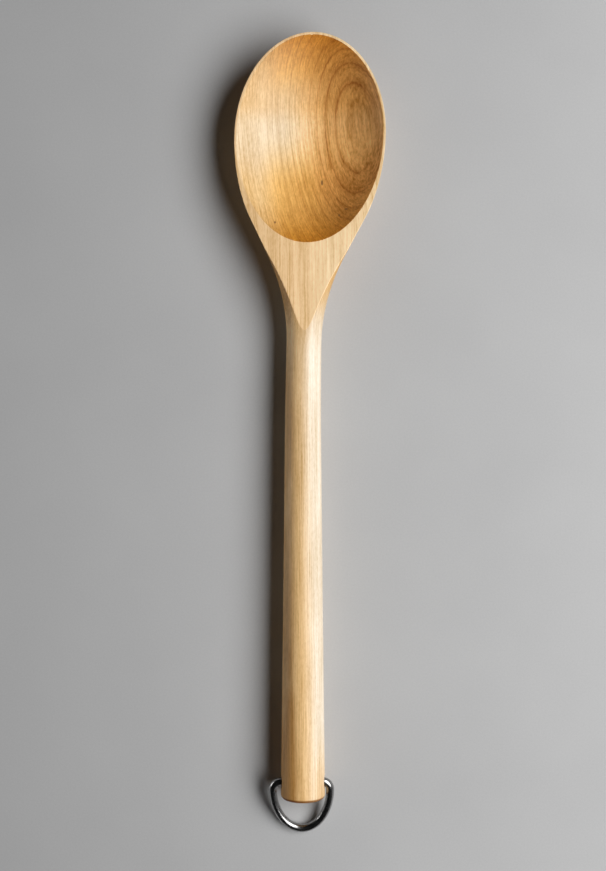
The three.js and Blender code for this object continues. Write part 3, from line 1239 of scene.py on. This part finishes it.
class SpoonRules:
    """The rules that the spoon's surfaces follow, written into a Geometry Nodes tree."""

    NAMES = (
        "axis_x", "tip_y", "length", "bowl_half_width", "tip_reach", "shoulder_reach", "flank_slope",
        "cove_radius", "neck_radius", "butt_radius", "taper_power", "butt_edge", "stock_height", "belly_sine",
        "belly_cut", "round_cut", "shoulder_end", "shoulder_end_width", "cove_start", "cove_end",
        "rounding_start", "rounding_end", "round_radius", "flat_end", "lean_middle", "lean_half_run",
        "rim_width", "rim_width_at_tip", "hollow_neck_reach", "hollow_depth", "hole_inset", "hole_radius",
        "hole_chamfer", "strip_lead",
    )

    def __init__(self, plan: ShapePlan, spoon: WoodenSpoon) -> None:
        """Gives every size of the spoon a named input.

        Args:
            plan: The tree to write into.
            spoon: The spoon whose sizes are used.
        """
        self.plan = plan
        self.spoon = spoon
        self.size = {name: plan.size(name, getattr(spoon, name)) for name in self.NAMES}
        self.lean_tangent = plan.size("lean_tangent", math.tan(math.radians(spoon.head_lean)))
        self.hollow_sine = plan.size("hollow_sine", math.sin(math.radians(spoon.hollow_rim_angle)))

    def half_width(self, station: Number) -> Number:
        """Half the width of the outline, from the widest place on.

        Args:
            station: Distance from the tip.

        Returns:
            The half width there.
        """
        s = self.size
        past_widest = (station - s["tip_reach"]) / s["shoulder_reach"]
        shoulder = s["bowl_half_width"] * (1.0 - past_widest.squared()).root()
        flank = s["shoulder_end_width"] - s["flank_slope"] * (station - s["shoulder_end"])
        sweep = (s["cove_radius"].squared() - (s["cove_end"] - station).squared()).root()
        cove = s["neck_radius"] + s["cove_radius"] - sweep
        along = (station - s["cove_end"]) / (s["length"] - s["cove_end"])
        handle = s["neck_radius"] + (s["butt_radius"] - s["neck_radius"]) * along ** s["taper_power"]
        width = self.plan.choose(station.below(s["cove_end"]), cove, handle)
        width = self.plan.choose(station.below(s["cove_start"]), flank, width)
        return self.plan.choose(station.below(s["shoulder_end"]), shoulder, width)

    def middle(self, station: Number) -> Number:
        """Finds the spoon's middle line.

        Args:
            station: Distance from the tip.

        Returns:
            Sideways place of the middle line there.
        """
        before = self.size["lean_middle"] - station
        run = self.size["lean_half_run"]
        bend = (before + run).at_least(0.0).squared() / (4.0 * run)
        shift = self.plan.choose(before.below(run), bend, before)
        return self.size["axis_x"] + self.lean_tangent * shift

    def section(self, station: Number) -> tuple[Number, Number, Number, Number]:
        """The ellipse of the wood at a station, from the widest place on.

        Args:
            station: Distance from the tip.

        Returns:
            Half width, half height and centre height of the ellipse, and the level at which the flat cuts it.
        """
        s = self.size
        width = self.half_width(station)
        turned = station.eased(s["rounding_start"], s["rounding_end"])
        lifted = station.eased(s["tip_reach"], s["rounding_end"])
        underside = (s["butt_radius"] - s["round_radius"]) * lifted
        cut = self.plan.between(s["belly_cut"], s["round_cut"], turned)
        upright = (s["stock_height"] - underside) / (cut + 1.0)
        across = width / (1.0 - cut.at_most(0.0).squared()).root()
        is_round = 1.0 - station.below(s["rounding_end"])
        across = self.plan.choose(is_round, width, across)
        centre = self.plan.choose(is_round, s["butt_radius"], underside + upright)
        upright = self.plan.choose(is_round, width, upright)
        return across, upright, centre, cut.at_most(1.0)

    def outside(self) -> Socket:
        """Shapes belly, handle and butt in one skin.

        Returns:
            The skin, from one edge of the flat under the wood to the other.
        """
        s, spoon = self.size, self.spoon
        handle_start = spoon.tip_rows + spoon.shoulder_rows + spoon.neck_rows
        butt_start = handle_start + spoon.handle_rows
        rows = butt_start + spoon.butt_rows + 1
        sheet, along, around = self.plan.grid(rows, spoon.columns)
        step = along * float(rows)
        swing, shoulder, neck = self.turns(step)
        handle = step.ramp(float(handle_start), float(butt_start))
        edge = step.ramp(float(butt_start), float(rows - 1)) * QUARTER_TURN
        shut = step.ramp(float(rows - 1), float(rows))
        handle_run = s["length"] - s["butt_edge"] - s["flat_end"]
        station = self.flat_station(shoulder, neck) + handle_run * handle + s["butt_edge"] * edge.sine()
        across, upright, centre, cut = self.section(station)
        inset = s["butt_edge"] * (1.0 - edge.cosine()) + (s["butt_radius"] - s["butt_edge"]) * shut
        start = cut.arc_cosine()
        angle = start + around * (2.0 * HALF_TURN - 2.0 * start)
        sine = angle.sine()
        forward = s["tip_reach"] / s["belly_sine"] * abs(sine) * swing.cosine()
        place = station - forward
        x = self.middle(place) + (across - inset) * sine * swing.sine()
        z = centre + (upright - inset) * angle.cosine()
        return self.plan.bent(sheet, x, s["tip_y"] - place, z)

    def turns(self, row: Number) -> tuple[Number, Number, Number]:
        """Splits a row of the flat's outline into three quarter turns.

        Args:
            row: Number of the row, from the tip on.

        Returns:
            How far round the tip, the shoulder beside the hollow, and the neck past it the row is, as angles.
        """
        tip_end = self.spoon.tip_rows
        shoulder_end = tip_end + self.spoon.shoulder_rows
        marks = (0, tip_end, shoulder_end, shoulder_end + self.spoon.neck_rows)
        spans = zip(marks, marks[1:])
        swing, shoulder, neck = (row.ramp(float(start), float(end)) * QUARTER_TURN for start, end in spans)
        return swing, shoulder, neck

    def flat_station(self, shoulder: Number, neck: Number) -> Number:
        """Places a row of the flat's outline, which runs ahead of the hollow's row beside it.

        Args:
            shoulder: How far round the shoulder the row is.
            neck: How far round the neck it is.

        Returns:
            The row's station.
        """
        s = self.size
        beside = s["tip_reach"] + s["hollow_neck_reach"] * shoulder.sine()
        ahead = s["strip_lead"] * (1.0 - shoulder.cosine())
        hollow_end = s["tip_reach"] + s["hollow_neck_reach"]
        return beside + ahead + (s["flat_end"] - hollow_end - s["strip_lead"]) * neck.sine()

    def top(self) -> Socket:
        """Shapes the flat of the rim and neck, and the hollow inside it.

        Returns:
            Both, joined.
        """
        spoon = self.spoon
        hollow_ring = spoon.tip_rows + spoon.shoulder_rows
        pieces = [self.flat(hollow_ring + spoon.neck_rows), self.hollow(hollow_ring)]
        return self.plan.step("GeometryNodeJoinGeometry", pieces, "Geometry")

    def ring_rows(self, around: Number, rows: int) -> tuple[Number, Number]:
        """Rows of a sheet that goes up one side of the spoon and back down the other.

        Args:
            around: How far round the sheet a point is, from 0 to 1.
            rows: Rows on one side.

        Returns:
            The row of the point, and 1 or -1 for its side.
        """
        step = around * (2.0 * rows)
        return float(rows) - abs(step - float(rows)), 1.0 - 2.0 * (1.0 - step.below(float(rows)))

    def rim(self, swing: Number, shoulder: Number) -> tuple[Number, Number]:
        """Places a row of the hollow's edge.

        Args:
            swing: How far round the tip the row is.
            shoulder: How far round the shoulder it is.

        Returns:
            Distance from the middle line, and reach from the bowl's widest place.
        """
        s = self.size
        x = (s["bowl_half_width"] - s["rim_width"]) * swing.sine() * shoulder.cosine()
        tip_side = (s["tip_reach"] - s["rim_width_at_tip"]) * swing.cosine()
        return x, s["hollow_neck_reach"] * shoulder.sine() - tip_side

    def flat(self, rows: int) -> Socket:
        """Shapes the flat.

        Args:
            rows: Rows on one side.

        Returns:
            Strips from its outline to the hollow's edge and, past that, to the middle line.
        """
        s, plan = self.size, self.plan
        sheet, around, inwards = plan.grid(2 * rows, 1)
        row, side = self.ring_rows(around, rows)
        swing, shoulder, neck = self.turns(row)
        station = self.flat_station(shoulder, neck)
        across, _, _, cut = self.section(station)
        outer_x = across * (1.0 - cut.squared()).root() * swing.sine()
        outer_place = station - s["tip_reach"] * swing.cosine()
        inner_x, inner_reach = self.rim(swing, shoulder)
        past_hollow = (s["flat_end"] - s["tip_reach"] - s["hollow_neck_reach"]) * neck.sine()
        inner_place = s["tip_reach"] + inner_reach + past_hollow
        x = plan.between(outer_x, inner_x, inwards)
        place = plan.between(outer_place, inner_place, inwards)
        return plan.bent(sheet, self.middle(place) + side * x, s["tip_y"] - place, s["stock_height"])

    def hollow(self, rows: int) -> Socket:
        """Shapes the hollow.

        Args:
            rows: Rows on one side.

        Returns:
            Rings from its edge to its deepest place.
        """
        s, plan = self.size, self.plan
        sheet, around, inwards = plan.grid(2 * rows, self.spoon.hollow_rows)
        row, side = self.ring_rows(around, rows)
        swing, shoulder, _ = self.turns(row)
        rim_x, rim_reach = self.rim(swing, shoulder)
        share = 1.0 - inwards
        cosine = (1.0 - self.hollow_sine.squared()).root()
        drop = ((1.0 - (self.hollow_sine * share).squared()).root() - cosine) / (1.0 - cosine)
        place = s["tip_reach"] + share * rim_reach
        z = s["stock_height"] - s["hollow_depth"] * drop
        return plan.bent(sheet, self.middle(place) + side * share * rim_x, s["tip_y"] - place, z)

    def hole_cutter(self) -> Socket:
        """Shapes the cross hole as a solid.

        Returns:
            A bore with a chamfered mouth at each side of the handle.
        """
        s, plan = self.size, self.plan
        # Bands along the cutter: end, mouth, bore, mouth, end.
        bands = 5
        sheet, along, around = plan.grid(bands, self.spoon.hole_sides)
        level = along * float(bands) - bands / 2.0
        outwards = abs(level)
        surface = plan.size("hole_surface", self.spoon.radius_at(self.spoon.length - self.spoon.hole_inset))
        depth = plan.choose(outwards.below(1.0), surface - s["hole_chamfer"], surface + s["hole_chamfer"])
        mouth = s["hole_radius"] + 2.0 * s["hole_chamfer"]
        radius = plan.choose(outwards.below(1.0), s["hole_radius"], mouth) * outwards.below(2.0)
        side = 1.0 - 2.0 * level.below(0.0)
        angle = around * (2.0 * HALF_TURN)
        y = s["tip_y"] - s["length"] + s["hole_inset"] + radius * angle.sine()
        bent = plan.bent(sheet, s["axis_x"] + side * depth, y, s["butt_radius"] + radius * angle.cosine())
        return plan.step("GeometryNodeMergeByDistance", bent, "Geometry", Distance=self.spoon.weld)

    def marked(self, mesh: Socket) -> Socket:
        """Marks the edges to sand round or keep sharp, the flat, the hollow and the slope along the fibres.

        Args:
            mesh: The carved spoon.

        Returns:
            The same mesh with its marks.
        """
        s, plan, spoon = self.size, self.plan, self.spoon
        angle = Number(plan, plan.node("GeometryNodeInputMeshEdgeAngle").outputs["Unsigned Angle"])
        _, y, height = plan.parts(plan.node("GeometryNodeInputPosition").outputs[0])
        station = s["tip_y"] - y
        level_with_flat = 1.0 - height.below(s["stock_height"] - spoon.flat_tolerance)
        on_top = level_with_flat * station.below(s["flat_end"] + spoon.flat_overrun)
        weight = angle.eased(math.radians(spoon.sanded_from), math.radians(spoon.sanded_fully_from)) * on_top
        mesh = plan.noted(mesh, "bevel_weight_edge", weight, domain="EDGE")
        _, normal_y, normal_z = plan.parts(plan.node("GeometryNodeInputNormal").outputs["Normal"])
        mesh = plan.noted(mesh, "fibre_slope", normal_y, domain="FACE")
        mesh = plan.noted(mesh, "planed_and_lit", on_top, domain="FACE")
        facing_up = 1.0 - normal_z.below(spoon.hollow_facing)
        in_bowl = station.below(s["tip_reach"] + s["hollow_neck_reach"]) * facing_up
        mesh = plan.noted(mesh, "hollow", in_bowl * (1.0 - on_top), domain="FACE")
        smooth = plan.step("GeometryNodeSetShadeSmooth", mesh, "Geometry", Shade_Smooth=True)
        crisp = plan.node("GeometryNodeSetShadeSmooth", domain="EDGE")
        plan.feed(crisp.inputs["Geometry"], smooth)
        bent_sharply = 1.0 - angle.below(math.radians(spoon.crisp_from))
        plan.feed(crisp.inputs["Selection"], bent_sharply * (1.0 - on_top))
        crisp.inputs["Shade Smooth"].default_value = False
        return crisp.outputs[0]


@dataclass
class HangingRing:
    """One wire bent to a D, its ends meeting in the cross hole. Sizes in millimetres, angles in degrees."""

    axis_x: float
    axis_y: float
    axis_z: float
    wire_radius: float = 1.75
    half_width: float = 12.5
    reach: float = 24.15
    corner_radius: float = 4.0
    end_gap: float = 0.6
    slide: float = -0.8
    yaw: float = 1.2
    table_clearance: float = 0.02
    path_points: int = 260
    wire_sides: int = 40

    @property
    def tilt(self) -> float:
        """Angle that lays the bow on the table, in radians."""
        return math.asin((self.axis_z - self.wire_radius - self.table_clearance) / self.reach)

    def build(self, material: bpy.types.Material) -> bpy.types.Object:
        """Bends the wire.

        Args:
            material: The wire's finish.

        Returns:
            The piece as a plain mesh.
        """
        plan = ShapePlan("ring_bending")
        wire = plan.size("wire_radius", self.wire_radius)
        line = plan.node("GeometryNodeCurvePrimitiveLine")
        path = plan.step("GeometryNodeResampleCurve", line.outputs[0], "Curve", Count=self.path_points)
        x, y = self._bend(plan, Number(plan, plan.node("GeometryNodeSplineParameter").outputs["Factor"]))
        path = plan.bent(path, x, y, 0.0)
        run = Number(plan, plan.node("GeometryNodeSplineParameter").outputs["Length"])
        path = plan.noted(path, "wire_along", run)
        circle = plan.node("GeometryNodeCurvePrimitiveCircle")
        circle.inputs["Resolution"].default_value = self.wire_sides
        plan.feed(circle.inputs["Radius"], wire)
        place = plan.node("GeometryNodeInputPosition").outputs[0]
        profile = plan.noted(circle.outputs[0], "wire_side", place, kind="FLOAT_VECTOR")
        swept = plan.step("GeometryNodeCurveToMesh", path, "Curve", Profile_Curve=profile, Fill_Caps=True)
        slack = plan.step("GeometryNodeTransform", swept, "Geometry", Translation=(self.slide, 0.0, 0.0),
                          Rotation=(0.0, 0.0, math.radians(self.yaw)))
        laid = plan.step("GeometryNodeTransform", slack, "Geometry",
                         Translation=(self.axis_x, self.axis_y, self.axis_z), Rotation=(self.tilt, 0.0, 0.0))
        smooth = plan.step("GeometryNodeSetShadeSmooth", laid, "Geometry", Shade_Smooth=True)
        plan.close(smooth, material)
        return plan.carry_out("bent_wire_ring")

    def _bend(self, plan: ShapePlan, along: Number) -> tuple[Number, Number]:
        """The D, from one end of the wire out round the bow and back.

        Args:
            plan: The tree to write into.
            along: How far along the wire a point is, from 0 to 1.

        Returns:
            The point's place across and along the ring.
        """
        half_width = plan.size("half_width", self.half_width)
        reach = plan.size("reach", self.reach)
        corner = plan.size("corner_radius", self.corner_radius)
        gap = plan.size("end_gap", self.end_gap)
        bar = self.half_width - self.corner_radius - self.end_gap / 2.0
        quarter = self.corner_radius * QUARTER_TURN
        bow = HALF_TURN * math.hypot(self.half_width, self.reach - self.corner_radius) / math.sqrt(2.0)
        lengths = (bar, quarter, bow, quarter, bar)
        marks = [sum(lengths[:i]) / sum(lengths) for i in range(len(lengths) + 1)]
        out, turn_out, round_bow, turn_in, home = (along.ramp(a, b) for a, b in zip(marks, marks[1:]))
        turn_out, turn_in, round_bow = turn_out * QUARTER_TURN, turn_in * QUARTER_TURN, round_bow * HALF_TURN
        straight = half_width - corner - gap / 2.0
        x = gap / 2.0 + straight * (out + home) + corner * (turn_out.sine() + 1.0 - turn_in.cosine())
        x = x + half_width * (round_bow.cosine() - 1.0)
        y = corner * (turn_out.cosine() - 1.0 + turn_in.sine()) - (reach - corner) * round_bow.sine()
        return x, y

    def dress(self, piece: bpy.types.Object) -> None:
        """Ties the piece to its body and hides the solid that it stands for.

        Args:
            piece: The finished piece.
        """
        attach(piece, Body.RING.value)
        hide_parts(Node.RING.value)


@dataclass
class Tabletop:
    """The pale floor that the spoon lies on. Sizes in metres."""

    half_size: float = 6.0

    def build(self, material: bpy.types.Material) -> bpy.types.Object:
        """Lays the floor.

        Args:
            material: The floor's finish.

        Returns:
            The floor.
        """
        reach = self.half_size
        corners = [(-reach, -reach, 0.0), (reach, -reach, 0.0), (reach, reach, 0.0), (-reach, reach, 0.0)]
        mesh = bpy.data.meshes.new("tabletop")
        mesh.from_pydata(corners, [], [(0, 1, 2, 3)])
        mesh.materials.append(material)
        floor = bpy.data.objects.new("tabletop", mesh)
        bpy.context.scene.collection.objects.link(floor)
        return floor


@dataclass(frozen=True)
class SoftLamp:
    """An oval soft lamp that faces the spoon. Sizes in metres, angles in degrees, power in watts."""

    name: str
    distance: float
    elevation: float
    bearing: float
    width: float
    height: float
    power: float

    def build(self) -> bpy.types.Object:
        """Hangs the lamp.

        Returns:
            The lamp.
        """
        data = bpy.data.lights.new(self.name, "AREA")
        data.shape = "ELLIPSE"
        data.size = self.width
        data.size_y = self.height
        data.energy = self.power
        lamp = bpy.data.objects.new(self.name, data)
        rise, turn = math.radians(self.elevation), math.radians(self.bearing)
        level = self.distance * math.cos(rise)
        lamp.location = (level * math.cos(turn), level * math.sin(turn), self.distance * math.sin(rise))
        lamp.rotation_euler = lamp.location.to_track_quat("Z", "Y").to_euler()
        bpy.context.scene.collection.objects.link(lamp)
        return lamp


@dataclass
class StudioLight:
    """A soft lamp from the right, a weak low one from the left, and a dim room with pale walls far off."""

    key: SoftLamp = SoftLamp(
        "key_lamp", distance=0.9, elevation=48.0, bearing=-3.0, width=1.2, height=0.62, power=10.9,
    )
    fill: SoftLamp = SoftLamp(
        "fill_lamp", distance=1.3, elevation=4.5, bearing=178.0, width=0.8, height=0.18, power=2.4,
    )
    room: float = 0.004
    walls: float = 0.40
    wall_fade: Span = (0.0, 0.12)

    def build(self) -> None:
        """Hangs the lamps and sets the room's light."""
        self.key.build()
        self.fill.build()
        world = bpy.data.worlds.new("dim_room")
        world.use_nodes = True
        plan = Plan(world.node_tree)
        _, _, height = plan.parts(plan.node("ShaderNodeTexCoord").outputs["Generated"])
        background = world.node_tree.nodes["Background"]
        background.inputs["Color"].default_value = (1.0, 1.0, 1.0, 1.0)
        pale = (self.walls - self.room) * (1.0 - height.eased(*self.wall_fade)) * plan.seen()
        plan.feed(background.inputs["Strength"], self.room + pale)
        bpy.context.scene.world = world


@dataclass
class OverheadCamera:
    """Camera straight above the spoon. Sizes in metres, and the lens in millimetres."""

    x: float
    y: float = 0.001
    height: float = 0.535
    lens: float = 50.0
    clip_start: float = 0.01

    def build(self) -> bpy.types.Object:
        """Places the camera.

        Returns:
            The scene's camera.
        """
        data = bpy.data.cameras.new("overhead_camera")
        data.lens = self.lens
        data.clip_start = self.clip_start
        camera = bpy.data.objects.new("overhead_camera", data)
        camera.location = (self.x, self.y, self.height)
        bpy.context.scene.collection.objects.link(camera)
        bpy.context.scene.camera = camera
        return camera


def report(piece: bpy.types.Object) -> None:
    """Logs a finished piece with its count of faces."""
    LOG.info("%s: %d faces", piece.name, len(piece.data.polygons))


def main() -> None:
    """Builds the spoon, its ring and the studio, in order."""
    logging.basicConfig(level=logging.INFO, format="%(name)s %(message)s")
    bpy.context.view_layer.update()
    pivot = [value / MM for value in frame["joints"][0]["pos_m"]]
    spoon_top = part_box(Node.SPOON.value)[1]

    spoon = WoodenSpoon(axis_x=pivot[0], tip_y=spoon_top.y / MM)
    wood = spoon.build(OiledWood(axis_x=pivot[0]).make())
    spoon.dress(wood)
    report(wood)

    ring = HangingRing(axis_x=pivot[0], axis_y=pivot[1], axis_z=pivot[2])
    wire = ring.build(PolishedWire().make())
    ring.dress(wire)
    report(wire)

    report(Tabletop().build(PaleTable().make()))
    StudioLight().build()
    OverheadCamera(x=pivot[0] * MM).build()
    bpy.context.scene.view_settings.view_transform = "Standard"


if __name__ == "__main__":
    main()
